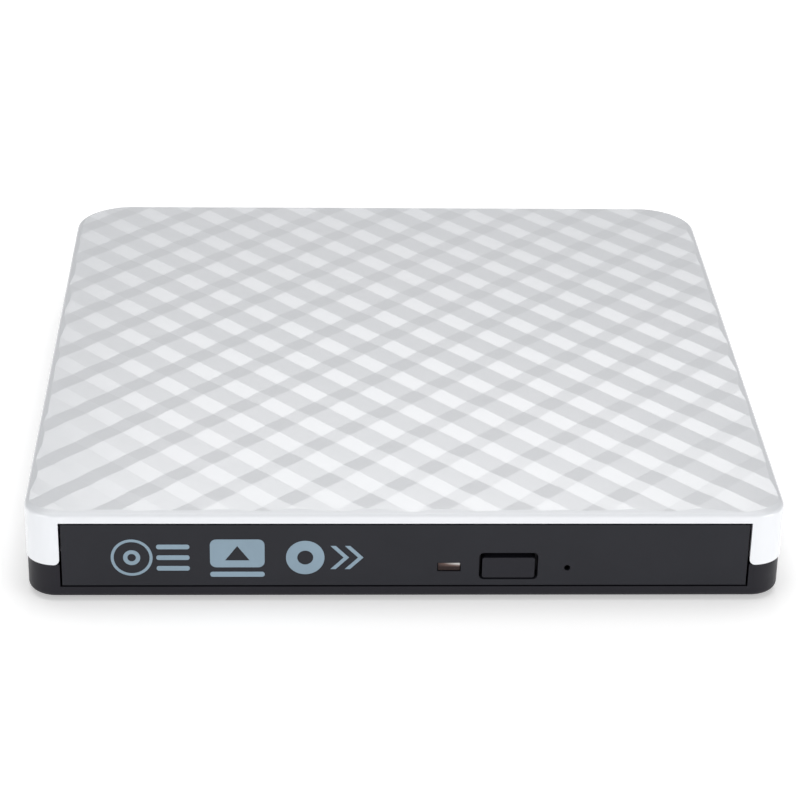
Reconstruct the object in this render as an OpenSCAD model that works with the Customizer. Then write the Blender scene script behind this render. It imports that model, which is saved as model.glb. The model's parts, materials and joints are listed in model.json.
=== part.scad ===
/* [Body] */
// Width of the casing
body_w = 142.8; // [141:0.1:146]
// Depth of the casing, front to back
body_d = 148.6; // [147:0.1:152]
// Height of the casing without its feet
shell_h = 18.4; // [18:0.1:20]
// How far the rubber feet stand below the casing
foot_h = 0.8; // [0.6:0.1:1]
// Radius of the two rear corners
rear_r = 12.2; // [9:0.1:13]
// Radius of the two front corners
front_r = 5.8; // [5:0.1:7]
// Wall of both shells
wall = 1.8; // [1.5:0.1:2]
// Height above the table where the white cover meets the black case
split_z = 7.9; // [7.5:0.1:8.3]
// Rounding along the cover's top edge
top_edge_r = 0.8; // [0.5:0.1:1.2]
// Rounding along the case's bottom edge
bottom_edge_r = 1.1; // [0.8:0.1:1.4]
// How far the black case stands in from the white cover
case_inset = 0.2; // [0.2:0.05:0.5]

/* [Front] */
// Width of the opening for the tray front
notch_w = 129.6; // [129.4:0.1:130]
// Lower edge of that opening
notch_z0 = 3.1; // [3:0.1:3.2]
// Upper edge of that opening
notch_z1 = 16.8; // [16.7:0.1:17]
// Width of the tray front, or bezel
bezel_w = 128.8; // [128:0.1:129]
// Thickness of the bezel
bezel_t = 3.2; // [2.8:0.1:3.4]
// How far the bezel stands in from the casing's front
bezel_recess = 0.25; // [0.1:0.05:0.4]
// Distance of the eject button from the middle
button_x = 19.3; // [15:0.1:23]
// Width of the eject button's cap
button_w = 9.9; // [8:0.1:11]
// Height of the eject button's cap
button_h = 4.3; // [3.5:0.1:4.5]
// Distance of the status light from the middle
light_x = 8.1; // [5:0.1:9]
// Distance of the emergency pinhole from the middle
pinhole_x = 30.4; // [29:0.1:31.5]

/* [Drive] */
// Width of the slim drive unit
drive_w = 128; // [127.8:0.1:128]
// Depth of the slim drive unit behind the bezel
drive_d = 126.1; // [126:0.1:127]
// Height of the slim drive unit
drive_h = 12.7; // [12.6:0.1:12.7]
// Thickness of the drive's sheet metal
sheet = 0.6; // [0.5:0.1:0.6]
// Radius of the recess that the disc lies in
recess_r = 60.6; // [60.4:0.1:60.8]
// Half width of the tray between the rails
tray_half_w = 60.2; // [60:0.1:60.3]
// How far the spindle stands in front of the body's middle
spindle_forward = 8; // [7.5:0.1:8.5]

/* [Mechanism] */
// Direction in which the pickup runs outward, from the right
sled_angle = 225; // [223:1:227]
// Distance from the spindle to the lens at rest
lens_r = 24; // [24:0.5:25]
// Travel of the pickup along its rods
sled_travel = 33; // [30:0.5:33]
// Radius of the hub that centres a disc
hub_r = 7.45; // [7.4:0.01:7.47]
// Radius of the turntable
table_r = 14.5; // [13:0.1:14.8]
// Distance of the two guide rods from the pickup's centre line
rod_v = 16.5; // [16:0.1:17]
// Radius of the guide rods
rod_r = 1; // [0.8:0.05:1]
// Pitch of the lead screw
screw_pitch = 3; // [2:0.5:3]

/* [Rear] */
// Place of the USB socket, from the middle
usb_x = -38; // [-45:1:-30]
// Place of the drive's data and power connector
sata_x = 22; // [10:1:30]

/* [Hidden] */
$fn = 64;

// main levels
base_z = foot_h;
top_z = foot_h + shell_h;
front_y = -body_d / 2;
rear_y = body_d / 2;
ceiling_z = top_z - 1.7;
floor_z = foot_h + 1.7;
drive_z = 3.5;
bezel_back_y = front_y + bezel_recess + bezel_t;
drive_front_y = bezel_back_y + 0.3;
drive_back_y = drive_front_y + drive_d;
tray_front_y = bezel_back_y;
tray_back_y = drive_back_y - sheet - 1.5;
spindle_y = -spindle_forward;

// heights above the underside of the drive unit
deck_top = 8.9;
plate_low = 7.5;
rim_top = 10.9;
rod_h = 4.8;
screw_h = 4.6;
button_zd = 3.6;
light_zd = 3.8;
pin_zd = 3.6;
ffc_low = 0.65;
ffc_high = 7.2;
ffc_t = 0.2;

// places in plan
post_x = 66.6;
post_r = 2.45;
post_y = [-58, 58];
foot_x = 57;
foot_y = [-62, 60];
foot_r = 4.5;
screw_v = 21.5;
ffc_x = 31.5;
ffc_w = 12;
ffc_bend_y = -16;
ffc_end_y = 49;
striker = [50, -62];
latch_pivot = [50, -50];
ejector_x = -53.5;
board_y0 = 24;
cover_screw_at = [[-52, -64], [40, -30], [-52, 10], [24, 8]];
lens_out = lens_r + sled_travel;
usb_w = 7.7;
usb_h = 3.9;
bridge_z = 5;
bridge_y0 = 59.5;
bridge_y1 = rear_y - wall - 0.6;

// outline of the casing in plan, stepped in by inset
module outline(inset = 0) {
    w = body_w / 2 - inset;
    d = body_d / 2 - inset;
    rf = front_r - inset;
    rb = rear_r - inset;
    translate([-w, -d + rf]) square([2 * w, 2 * d - rf - rb]);
    translate([-w + rb, -d + rf]) square([2 * (w - rb), 2 * d - rf]);
    translate([-w + rf, -d]) square([2 * (w - rf), 2 * rf]);
    for (side = [-1, 1]) {
        translate([side * (w - rb), d - rb]) circle(rb);
        translate([side * (w - rf), -d + rf]) circle(rf);
    }
}

// round bead of radius r that follows the outline, for a rounded edge
module edge_bead(inset, r) {
    w = body_w / 2 - inset;
    d = body_d / 2 - inset;
    rf = front_r - inset;
    rb = rear_r - inset;
    for (side = [-1, 1]) {
        translate([side * (w - r), -d + rf, 0]) rotate([-90, 0, 0])
            cylinder(r = r, h = 2 * d - rf - rb);
        translate([side * (w - rb), d - rb, 0]) rotate([0, 0, side > 0 ? 0 : 90])
            rotate_extrude(angle = 90) translate([rb - r, 0]) circle(r);
        translate([side * (w - rf), -d + rf, 0]) rotate([0, 0, side > 0 ? 270 : 180])
            rotate_extrude(angle = 90) translate([rf - r, 0]) circle(r);
    }
    translate([-(w - rb), d - r, 0]) rotate([0, 90, 0]) cylinder(r = r, h = 2 * (w - rb));
    translate([-(w - rf), -d + r, 0]) rotate([0, 90, 0]) cylinder(r = r, h = 2 * (w - rf));
}

// box from its lowest to its highest corner
module box(low, high) {
    translate(low) cube(high - low);
}

// children as drawn for the right side, or mirrored to the left for side -1
module on_side(side) {
    if (side < 0) mirror([1, 0, 0]) children();
    else children();
}

// plan outline turned into a plate between two heights above the drive's underside
module plate(low, high) {
    translate([0, 0, drive_z + low]) linear_extrude(high - low) children();
}

// moves children to the pickup's own axes: x outward along its travel, y across it
module on_sled(height = 0) {
    translate([0, spindle_y, drive_z + height]) rotate([0, 0, sled_angle]) children();
}

// rectangle with rounded corners, centred
module round_rect(w, h, r) {
    square([w - 2 * r, h], center = true);
    square([w, h - 2 * r], center = true);
    for (x = [-1, 1], y = [-1, 1])
        translate([x * (w / 2 - r), y * (h / 2 - r)]) circle(r);
}

// small pan-head screw pointing up from its head
module screw(head_r, head_h, shank_r, length) {
    difference() {
        cylinder(r = head_r, h = head_h);
        for (a = [0, 90]) rotate([0, 0, a])
            translate([-head_r * 0.6, -0.25, -0.1]) cube([head_r * 1.2, 0.5, head_h * 0.5]);
    }
    translate([0, 0, head_h]) cylinder(r = shank_r, h = length);
}

// block that the tray front opening takes away from both shells
module front_notch() {
    translate([-notch_w / 2, front_y - 1, notch_z0])
        cube([notch_w, wall + 3, notch_z1 - notch_z0]);
}

// opening in the rear wall round the USB socket
module usb_opening() {
    box([usb_x - usb_w / 2 - 0.3, rear_y - wall - 1, bridge_z + 0.8],
        [usb_x + usb_w / 2 + 0.3, rear_y + 1, bridge_z + 1.2 + usb_h + 0.2]);
}

// ---------- enclosure ----------

module top_cover() {
    color("white") difference() {
        union() {
            difference() {
                union() {
                    translate([0, 0, split_z])
                        linear_extrude(shell_h + foot_h - split_z - top_edge_r) outline();
                    translate([0, 0, split_z])
                        linear_extrude(shell_h + foot_h - split_z) outline(top_edge_r);
                    translate([0, 0, top_z - top_edge_r]) edge_bead(0, top_edge_r);
                }
                translate([0, 0, split_z - 1])
                    linear_extrude(ceiling_z - split_z + 1) outline(wall);
            }
            for (x = [-1, 1], y = post_y)
                translate([x * post_x, y, floor_z + 0.4])
                    cylinder(r = post_r, h = ceiling_z - floor_z);
            for (x = [-36, 0, 36])
                box([x - 0.6, -60, drive_z + drive_h + 0.1], [x + 0.6, 50, ceiling_z + 0.1]);
        }
        front_notch();
        usb_opening();
        for (x = [-1, 1], y = post_y)
            translate([x * post_x, y, 0]) cylinder(r = 1, h = 9.5);
    }
}

module bottom_case() {
    low_r = bottom_edge_r;
    color("#2c2c2f") difference() {
        union() {
            difference() {
                union() {
                    translate([0, 0, base_z + low_r])
                        linear_extrude(split_z - base_z - low_r) outline(case_inset);
                    translate([0, 0, base_z])
                        linear_extrude(split_z - base_z) outline(case_inset + low_r);
                    translate([0, 0, base_z + low_r]) edge_bead(case_inset, low_r);
                }
                translate([0, 0, floor_z])
                    linear_extrude(split_z) outline(case_inset + wall);
            }
            // lip that locates the cover
            difference() {
                translate([0, 0, split_z - 1.6]) linear_extrude(2.8) outline(wall + 0.1);
                translate([0, 0, split_z - 2]) linear_extrude(4) outline(wall + 0.8);
                for (x = [-1, 1], y = post_y)
                    translate([x * post_x, y, 0]) cylinder(r = 3, h = 20);
                box([-70, front_y - 1, 0], [70, front_y + 6, 20]);
            }
            for (x = [-1, 1], y = post_y)
                translate([x * post_x, y, base_z + 0.5]) cylinder(r = 2.6, h = floor_z - base_z - 0.1);
            // ribs under the drive and posts under the bridge board
            for (x = [-40, 0, 40])
                box([x - 0.7, -66, floor_z - 0.1], [x + 0.7, 54, drive_z]);
            for (x = [-46, 46])
                translate([x, 66, floor_z - 0.1]) cylinder(r = 2, h = bridge_z - floor_z + 0.1);
        }
        front_notch();
        usb_opening();
        for (x = [-1, 1], y = post_y)
            translate([x * post_x, y, 0]) {
                cylinder(r = 2.1, h = base_z + 1.1);
                cylinder(r = 1.15, h = 5);
            }
        for (x = [-1, 1], y = foot_y)
            translate([x * foot_x, y, 0]) cylinder(r = foot_r, h = base_z + 0.7);
        // shallow blank panel for a rating plate
        translate([0, 0, base_z - 0.1]) linear_extrude(0.35) round_rect(62, 34, 1.5);
    }
}

module rubber_feet() {
    color("#3a3a3c") for (x = [-1, 1], y = foot_y)
        translate([x * foot_x, y, 0]) {
            cylinder(r = foot_r - 0.5, h = 0.5);
            translate([0, 0, 0.3]) cylinder(r = foot_r - 0.1, h = base_z + 0.4);
        }
}

module case_screws() {
    color("silver") for (x = [-1, 1], y = post_y)
        translate([x * post_x, y, base_z + 0.3]) screw(1.9, 0.8, 0.97, 7);
}

// ---------- rear electronics ----------

module bridge_board() {
    color("#1f5c3a") difference() {
        box([-52, bridge_y0, bridge_z], [52, bridge_y1, bridge_z + 1]);
        for (x = [-46, 46]) translate([x, 66, bridge_z - 1]) cylinder(r = 1.1, h = 3);
    }
}

module bridge_chips() {
    top = bridge_z + 1;
    color("#222222") {
        box([-4, 62, top], [4, 70, top + 1]);
        box([-14, 63, top], [-10, 65.5, top + 0.9]);
        for (x = [-24, -20, 8]) box([x, 66.5, top], [x + 2, 68.5, top + 1.1]);
        box([-27, 61.5, top], [-22, 65.5, top + 2.2]);
    }
}

module usb_socket() {
    z = bridge_z + 1;
    color("silver") difference() {
        box([usb_x - usb_w / 2, rear_y - 9.6, z], [usb_x + usb_w / 2, rear_y - 0.3, z + usb_h]);
        box([usb_x - usb_w / 2 + 0.35, rear_y - 9, z + 0.35],
            [usb_x + usb_w / 2 - 0.35, rear_y, z + usb_h - 0.35]);
    }
}

module usb_tongue() {
    z = bridge_z + 1 + usb_h / 2;
    color("#111111") {
        box([usb_x - 2.6, rear_y - 8.9, z - 0.9], [usb_x + 2.6, rear_y - 7.6, z + 0.9]);
        box([usb_x - 1.9, rear_y - 7.7, z - 0.5], [usb_x + 1.9, rear_y - 1.5, z + 0.5]);
    }
}

module sata_receptacle() {
    color("#151515") difference() {
        box([sata_x - 17.5, drive_back_y + 2, bridge_z + 1.05],
            [sata_x + 17.5, bridge_y0 + 3, bridge_z + 6]);
        for (x = [-15.8, -3.4])
            box([sata_x + x, drive_back_y + 1, bridge_z + 2.4],
                [sata_x + x + (x < -10 ? 9.6 : 19), bridge_y0 + 1.8, bridge_z + 4.4]);
    }
}

module sata_plug() {
    color("#151515") {
        box([sata_x - 17.5, drive_back_y - 6, drive_z + 2.6],
            [sata_x + 17.5, drive_back_y + 1.9, drive_z + 7]);
        for (x = [-15.4, -3])
            box([sata_x + x, drive_back_y + 1.8, drive_z + 4.4],
                [sata_x + x + (x < -10 ? 8.8 : 18.2), drive_back_y + 5, drive_z + 5.4]);
    }
}

// ---------- drive unit ----------

module drive_base() {
    hw = drive_w / 2;
    color("#b9bcc0") difference() {
        box([-hw, drive_front_y, drive_z], [hw, drive_back_y, drive_z + 12]);
        box([-hw + sheet, drive_front_y - 1, drive_z + sheet],
            [hw - sheet, drive_back_y - sheet, drive_z + 13]);
        box([sata_x - 18, drive_back_y - 2, drive_z + 2.4],
            [sata_x + 18, drive_back_y + 1, drive_z + 7.6]);
        for (x = [-56, 56])
            translate([x, drive_back_y - 2, drive_z + 9.4]) rotate([-90, 0, 0]) cylinder(r = 0.82, h = 4);
        for (x = [-22, 22], y = [-50, 30])
            translate([x, y, drive_z - 1]) linear_extrude(3) round_rect(14, 8, 2);
    }
}

module drive_lid() {
    hw = drive_w / 2;
    color("#c4c7ca") difference() {
        union() {
            box([-hw, drive_front_y, drive_z + drive_h - sheet],
                [hw, drive_back_y, drive_z + drive_h]);
            for (side = [-1, 1])
                box([side * (hw - 1) - 0.3, drive_front_y + 4, drive_z + 10.4],
                    [side * (hw - 1) + 0.3, drive_back_y - 4, drive_z + drive_h - 0.5]);
        }
        translate([0, spindle_y, drive_z + drive_h - 0.25]) difference() {
            cylinder(r = 56, h = 1);
            translate([0, 0, -1]) cylinder(r = 18, h = 3);
        }
    }
}

module lid_screws() {
    color("silver") for (x = [-56, 56])
        translate([x, drive_back_y + 1.05, drive_z + 9.4]) rotate([90, 0, 0])
            screw(1.6, 0.5, 0.8, 2);
}

// fixed plastic guide that holds a rail
module channel(side) {
    y0 = drive_front_y + 2;
    y1 = drive_back_y - 8;
    x1 = drive_w / 2 - sheet - 0.05;
    color("#e8e6df") on_side(side) {
        box([62.7, y0, drive_z + 3.6], [x1, y1, drive_z + 9.8]);
        for (z = [3.6, 9])
            box([61.3, y0, drive_z + z], [62.8, y1, drive_z + z + 0.8]);
        for (y = [y0 + 20, y1 - 32])
            box([62, y, drive_z + sheet + 0.05], [x1, y + 12, drive_z + 3.7]);
    }
}

module channel_left() channel(-1);

module channel_right() channel(1);

module main_board() {
    color("#1f5c3a") plate(1.5, 2.5) difference() {
        union() {
            translate([-48, board_y0]) square([106, 30]);
            translate([30, 2]) square([28, 23]);
        }
        translate([-40, 48]) circle(1.2);
        translate([54, 6]) circle(1.2);
    }
}

module main_board_chips() {
    color("#222222") {
        plate(2.5, 3.9) translate([26, 33]) square(14, center = true);
        plate(2.5, 3.7) {
            translate([2, 34]) square([9, 12], center = true);
            translate([-18, 40]) square([12, 8], center = true);
            translate([50, 12]) square([6, 8], center = true);
        }
        for (x = [-34, -28, 12, 48]) plate(2.5, 3.8) translate([x, 30]) circle(1.6);
    }
}

module ffc_connector() {
    color("#efe9d8") box([ffc_x - 1, 19.6, drive_z + 0.62], [ffc_x + ffc_w + 1, 24, drive_z + 1.45]);
}

// part of the flat cable that lies on the drive's base
module ffc_lower() {
    color("#e9e4d2") box([ffc_x, ffc_bend_y, drive_z + ffc_low],
        [ffc_x + ffc_w, 19.6, drive_z + ffc_low + ffc_t]);
}

module striker_pin() {
    color("silver") translate([striker[0], striker[1], drive_z + sheet]) {
        cylinder(r = 0.8, h = 3.4);
        cylinder(r = 2, h = 0.5);
    }
}

module ejector_guide() {
    color("#e8e6df") difference() {
        union() {
            box([ejector_x - 3, 35, drive_z + sheet], [ejector_x + 3, 53, drive_z + 1.8]);
            for (y = [35, 50.5])
                box([ejector_x - 3, y, drive_z + sheet], [ejector_x + 3, y + 2, drive_z + 6]);
        }
        translate([ejector_x, 30, drive_z + 4]) rotate([-90, 0, 0]) cylinder(r = 1.06, h = 30);
    }
}

// ---------- slide rails ----------

module rail(side) {
    y0 = drive_front_y + 1.5;
    y1 = drive_front_y + 116;
    color("silver") on_side(side) {
        box([61.7, y0, drive_z + 5], [62.3, y1, drive_z + 8.6]);
        for (z = [5, 7.9])
            box([60.6, y0, drive_z + z], [61.8, y1, drive_z + z + 0.7]);
    }
}

module rail_left() rail(-1);

module rail_right() rail(1);

// turned part of the flat cable, which runs at half the tray's speed
module ffc_bend() {
    outer = (ffc_high + ffc_t - ffc_low) / 2;
    color("#e9e4d2") translate([ffc_x, ffc_bend_y, drive_z + ffc_low + outer])
        rotate([0, 90, 0]) rotate([0, 0, 180]) rotate_extrude(angle = 180)
            translate([outer - ffc_t, 0]) square([ffc_t, ffc_w]);
}

// ---------- tray ----------

// window in the tray over the pickup and the spindle
module mechanism_window(grow = 0) {
    intersection() {
        translate([0, spindle_y]) rotate(sled_angle)
            translate([-18 - grow, -19 - grow]) square([84.5 + 2 * grow, 38 + 2 * grow]);
        translate([-55.5 - grow, -65.5 - grow]) square([100, 100]);
    }
}

module tray_frame() {
    y0 = tray_front_y;
    y1 = tray_back_y;
    hw = tray_half_w;
    color("#2f2f32") difference() {
        union() {
            plate(plate_low, rim_top) translate([-hw, y0]) square([2 * hw, y1 - y0]);
            for (side = [-1, 1]) {
                // side walls and the tongues that run in the rails
                box([side > 0 ? hw - 1.4 : -hw, y0, drive_z + 3],
                    [side > 0 ? hw : -hw + 1.4, y1, drive_z + 8]);
                box([side > 0 ? hw - 0.1 : -hw - 1.1, y0 + 3, drive_z + 6.4],
                    [side > 0 ? hw + 1.1 : -hw + 0.1, y1 - 3, drive_z + 7.2]);
            }
            box([-hw, y0, drive_z + 1.6], [hw, y0 + 1.2, drive_z + 8]);
            // tab that the ejector pushes
            box([ejector_x - 2, 31.8, drive_z + 2.6], [ejector_x + 2, 33.3, drive_z + 8]);
            // bosses for the latch pivot and the underside cover
            translate([latch_pivot[0], latch_pivot[1], drive_z + 5.4]) cylinder(r = 2.4, h = 2.6);
            for (p = cover_screw_at)
                translate([p[0], p[1], drive_z + 1.45]) cylinder(r = 2, h = 6.5);
        }
        // recess for the disc, with a shallower step for the small disc size
        translate([0, spindle_y, drive_z + deck_top]) cylinder(r = recess_r, h = 3, $fn = 96);
        translate([0, spindle_y, drive_z + deck_top - 0.5]) cylinder(r = 40.4, h = 3, $fn = 96);
        plate(plate_low - 1, 9.2) mechanism_window();
        // finger notches at the rear corners of the recess
        for (side = [-1, 1])
            translate([side * 47, 42, drive_z + deck_top]) cylinder(r = 9, h = 3);
        box([2, y0 - 1, drive_z + 1], [36.5, y0 + 2, drive_z + 6.2]);
        translate([latch_pivot[0], latch_pivot[1], drive_z + 4]) cylinder(r = 0.9, h = 3);
        for (p = cover_screw_at)
            translate([p[0], p[1], drive_z]) cylinder(r = 0.7, h = 5);
    }
}

module bezel() {
    y0 = front_y + bezel_recess;
    color("#333337") difference() {
        box([-bezel_w / 2, y0, notch_z0 + 0.3], [bezel_w / 2, bezel_back_y, notch_z1 - 0.45]);
        // recess round the button, higher above it, then the hole for its cap
        translate([button_x, y0 + 2.2, drive_z + button_zd + 0.4]) rotate([90, 0, 0])
            linear_extrude(4) round_rect(11.1, 5.7, 0.9);
        box([button_x - button_w / 2 - 0.15, y0 - 1, drive_z + button_zd - button_h / 2 - 0.15],
            [button_x + button_w / 2 + 0.15, bezel_back_y + 1,
                drive_z + button_zd + button_h / 2 + 0.15]);
        box([light_x - 2.2, y0 - 1, drive_z + light_zd - 0.9],
            [light_x + 2.2, bezel_back_y + 1, drive_z + light_zd + 0.9]);
        translate([pinhole_x, y0 - 1, drive_z + pin_zd]) rotate([-90, 0, 0])
            cylinder(r = 0.6, h = bezel_t + 2);
    }
}

module light_pipe() {
    y0 = front_y + bezel_recess;
    color("#8c8782") {
        box([light_x - 2.15, y0 + 0.15, drive_z + light_zd - 0.85],
            [light_x + 2.15, bezel_back_y + 1.3, drive_z + light_zd + 0.85]);
        box([light_x - 2.8, bezel_back_y + 0.05, drive_z + light_zd - 1.3],
            [light_x + 2.8, bezel_back_y + 0.6, drive_z + light_zd + 1.3]);
    }
}

module status_led() {
    color("#f2efe2") box([light_x - 0.8, bezel_back_y + 1.6, drive_z + 2.6],
        [light_x + 0.8, bezel_back_y + 3.1, drive_z + 3.7]);
}

module deck_plate() {
    color("#1d1d1f") difference() {
        plate(7.9, 8.3) mechanism_window(-0.3);
        translate([0, spindle_y, drive_z + 7]) cylinder(r = table_r + 1.2, h = 3);
        on_sled(7) translate([lens_r - 7, -10.5, 0]) cube([sled_travel + 13.4, 21, 3]);
    }
}

module mechanism_cover() {
    color("#9fa3a7") plate(1, 1.4) difference() {
        polygon([[-58, -69], [1.5, -69], [1.5, -45.5], [36.5, -45.5], [36.5, -33.5], [44, -33.5],
            [44, -26], [27.5, -26], [27.5, 11], [20, 11], [-4, 20], [-58, 13]]);
        for (x = [-44, -30, -16]) translate([x, -56]) round_rect(8, 2, 0.9);
        for (p = cover_screw_at) translate(p) circle(0.65);
    }
}

module cover_screws() {
    color("silver") for (p = cover_screw_at)
        translate([p[0], p[1], drive_z + 0.6]) screw(1.3, 0.38, 0.6, 3);
}

module traverse_frame() {
    color("#3c3d40") difference() {
        plate(2.2, 6.9) intersection() {
            translate([0, spindle_y]) rotate(sled_angle)
                translate([-14, -21.5]) square([77, 47.5]);
            translate([-58, -68.6]) square([110, 110]);
        }
        // room for the pickup, the lead screw, its motor and the spindle motor
        on_sled(0) translate([13.5, -20, 0]) cube([lens_out - 10, 39.6, 9]);
        on_sled(0) translate([40, -13, 0]) cube([30, 26, 9]);
        on_sled(0) translate([9, 18.9, 0]) cube([48, 5.4, 9]);
        on_sled(0) translate([-9.2, 18, 0]) cube([19, 6.3, 9]);
        translate([0, spindle_y, drive_z]) cylinder(r = 13.2, h = 9);
        for (v = [-rod_v, rod_v])
            on_sled(rod_h) translate([8, v, 0]) rotate([0, 90, 0]) cylinder(r = rod_r, h = 54.6);
        on_sled(screw_h) translate([50, screw_v, 0]) rotate([0, 90, 0]) cylinder(r = 0.75, h = 9);
    }
}

module traverse_dampers() {
    color("#5a5a5a") {
        for (p = [[-11, -18.8], [-11, 15.5], [59, 22]])
            on_sled(6.9) translate([p[0], p[1], 0]) cylinder(r = 2, h = 0.6);
    }
}

module guide_rods() {
    color("silver") for (v = [-rod_v, rod_v])
        on_sled(rod_h) translate([8.2, v, 0]) rotate([0, 90, 0]) cylinder(r = rod_r, h = 54.2);
}

module motor_base() {
    color("#6d7176") {
        translate([0, spindle_y, drive_z + 1.6]) difference() {
            cylinder(r = 15, h = 0.6);
            translate([0, 0, -1]) cylinder(r = 1.05, h = 3);
        }
        translate([0, spindle_y, drive_z + 2]) difference() {
            cylinder(r = 3, h = 2.6);
            translate([0, 0, -1]) cylinder(r = 1.05, h = 6);
        }
    }
}

module motor_coils() {
    color("#b5713a") translate([0, spindle_y, drive_z + 2.4]) difference() {
        union() {
            cylinder(r = 4.6, h = 1.9);
            for (i = [0:8]) rotate([0, 0, i * 40]) translate([4, -1.3, 0]) cube([5.4, 2.6, 1.9]);
        }
        translate([0, 0, -1]) cylinder(r = 3.05, h = 4);
    }
}

module stepper_motor() {
    color("#a8abae") {
        on_sled(screw_h) translate([-8.6, screw_v, 0]) rotate([0, 90, 0]) difference() {
            cylinder(r = 2.6, h = 14);
            translate([0, 0, 12]) cylinder(r = 0.8, h = 3);
        }
        on_sled(screw_h) translate([5.3, screw_v - 2.6, -2.2]) difference() {
            cube([0.8, 5.2, 4.4]);
            translate([-1, 2.6, 2.2]) rotate([0, 90, 0]) cylinder(r = 0.8, h = 3);
        }
    }
}

module tray_board() {
    color("#1f5c3a") plate(1.8, 2.6) difference() {
        translate([2.2, tray_front_y + 1.5]) square([34, 22.5]);
        translate([32, -50]) circle(1.1);
    }
}

module eject_switch() {
    y = bezel_back_y + 2.7;
    color("#c9c9c4") {
        box([button_x - 2.5, y, drive_z + 2.6], [button_x + 2.5, y + 2.4, drive_z + 4.9]);
        translate([button_x, y, drive_z + button_zd]) rotate([90, 0, 0]) cylinder(r = 0.8, h = 0.7);
    }
}

module solenoid() {
    color("#8f4b25") translate([42, -34, drive_z + 4.8]) rotate([90, 0, 0]) difference() {
        cylinder(r = 2.2, h = 11);
        translate([0, 0, -1]) cylinder(r = 1.06, h = 14);
    }
    color("silver") for (y = [-45.6, -34])
        difference() {
            box([38.6, y, drive_z + 1.6], [45.4, y + 0.6, drive_z + 7.1]);
            translate([42, y - 1, drive_z + 4.8]) rotate([-90, 0, 0]) cylinder(r = 1.06, h = 3);
        }
}

// part of the flat cable that lies under the tray and is drawn into the loop
module ffc_upper() {
    color("#e9e4d2") box([ffc_x, ffc_bend_y, drive_z + ffc_high],
        [ffc_x + ffc_w, ffc_end_y, drive_z + ffc_high + ffc_t]);
}

// part of the flat cable that is stuck under the tray
module ffc_lead() {
    z = drive_z + ffc_high + 0.05;
    color("#e9e4d2") {
        box([46.5, -46, z], [53, ffc_end_y, z + ffc_t]);
        box([ffc_x + ffc_w, 40, z], [47, ffc_end_y, z + ffc_t]);
    }
}

module latch_pivot_pin() {
    color("silver") translate([latch_pivot[0], latch_pivot[1], drive_z + 4.15]) {
        cylinder(r = 0.86, h = 2.4);
        cylinder(r = 1.5, h = 0.2);
    }
}

// ---------- pieces that move on the tray ----------

module eject_button() {
    y0 = front_y + bezel_recess;
    color("#2a2a2e") {
        translate([button_x, y0 + 3.6, drive_z + button_zd]) rotate([90, 0, 0])
            linear_extrude(3.5) round_rect(button_w, button_h, 0.5);
        box([button_x - 5.8, y0 + 3.5, drive_z + button_zd - 0.8],
            [button_x + 5.8, y0 + 4.2, drive_z + button_zd + 1.2]);
    }
}

module rotor() {
    color("#c9ccd0") translate([0, spindle_y, drive_z]) {
        difference() {
            translate([0, 0, 3]) cylinder(r = 12.4, h = 4.3);
            translate([0, 0, 2]) cylinder(r = 11.6, h = 4.6);
        }
        translate([0, 0, 1.7]) cylinder(r = 1, h = 5.5);
    }
}

module turntable() {
    color("#26262a") translate([0, spindle_y, drive_z]) difference() {
        union() {
            translate([0, 0, 7.3]) cylinder(r = table_r, h = 1.7);
            translate([0, 0, 8.9]) cylinder(r = hub_r, h = 1.9);
            translate([0, 0, 10.8]) cylinder(r1 = hub_r, r2 = hub_r - 0.8, h = 0.6);
        }
        for (i = [0:2]) rotate([0, 0, 30 + i * 120])
            translate([4.4, -1.3, 10]) cube([4, 2.6, 3]);
        translate([0, 0, 10.6]) cylinder(r = 2.4, h = 2);
    }
}

module hub_claws() {
    color("#d9d6cc") translate([0, spindle_y, drive_z]) for (i = [0:2])
        rotate([0, 0, 30 + i * 120]) translate([4.5, -1.1, 10.05]) {
            cube([2.1, 2.2, 1.1]);
            translate([2.1, 2.2, 0.55]) rotate([90, 0, 0]) cylinder(r = 0.5, h = 2.2);
        }
}

module turntable_pad() {
    color("#6f6f6b") translate([0, spindle_y, drive_z + 9]) difference() {
        cylinder(r = table_r - 0.6, h = 0.4);
        translate([0, 0, -1]) cylinder(r = table_r - 4.6, h = 3);
    }
}

module pickup_body() {
    color("#8d9094") difference() {
        on_sled(2.7) translate([lens_r - 8, 0, 0]) {
            translate([0, -19, 0]) cube([11, 38, 4.1]);
            translate([0, -12.5, 0]) cube([15.4, 25, 4.1]);
        }
        for (v = [-rod_v, rod_v])
            on_sled(rod_h) translate([0, v, 0]) rotate([0, 90, 0])
                cylinder(r = rod_r + 0.05, h = 70);
        on_sled(5.2) translate([lens_r - 6, -9.4, 0]) cube([12, 18.8, 5]);
        for (v = [-14.4, 10.6])
            on_sled(5.2) translate([lens_r - 7, v, 0]) cube([13.4, 0.8, 5]);
    }
}

module actuator_yoke() {
    color("#55595e") {
        on_sled(5.25) difference() {
            translate([lens_r - 5.9, -9.2, 0]) cube([11.8, 18.4, 3.3]);
            translate([lens_r - 5.1, -8.4, 0.5]) cube([10.2, 16.8, 4]);
            translate([lens_r, 0, -1]) cylinder(r = 2.6, h = 3);
        }
        for (v = [-8.3, 6.6])
            on_sled(5.8) translate([lens_r - 3, v, 0]) cube([6, 1.7, 2.3]);
    }
}

module laser_unit() {
    color("#c7a45a") on_sled(3) {
        translate([lens_r - 5, -19.6, 0]) cube([7, 0.6, 3]);
        translate([lens_r - 4, 19, 0.1]) cube([5, 0.5, 2.6]);
    }
}

module lens_holder() {
    color("#1b1b1e") on_sled(6.2) difference() {
        union() {
            translate([lens_r - 4.2, -5.4, 0]) cube([8.4, 10.8, 1.9]);
            translate([lens_r, 0, 1.8]) cylinder(r = 3.4, h = 0.5);
        }
        translate([lens_r, 0, -1]) cylinder(r = 2.3, h = 5);
    }
}

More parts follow.
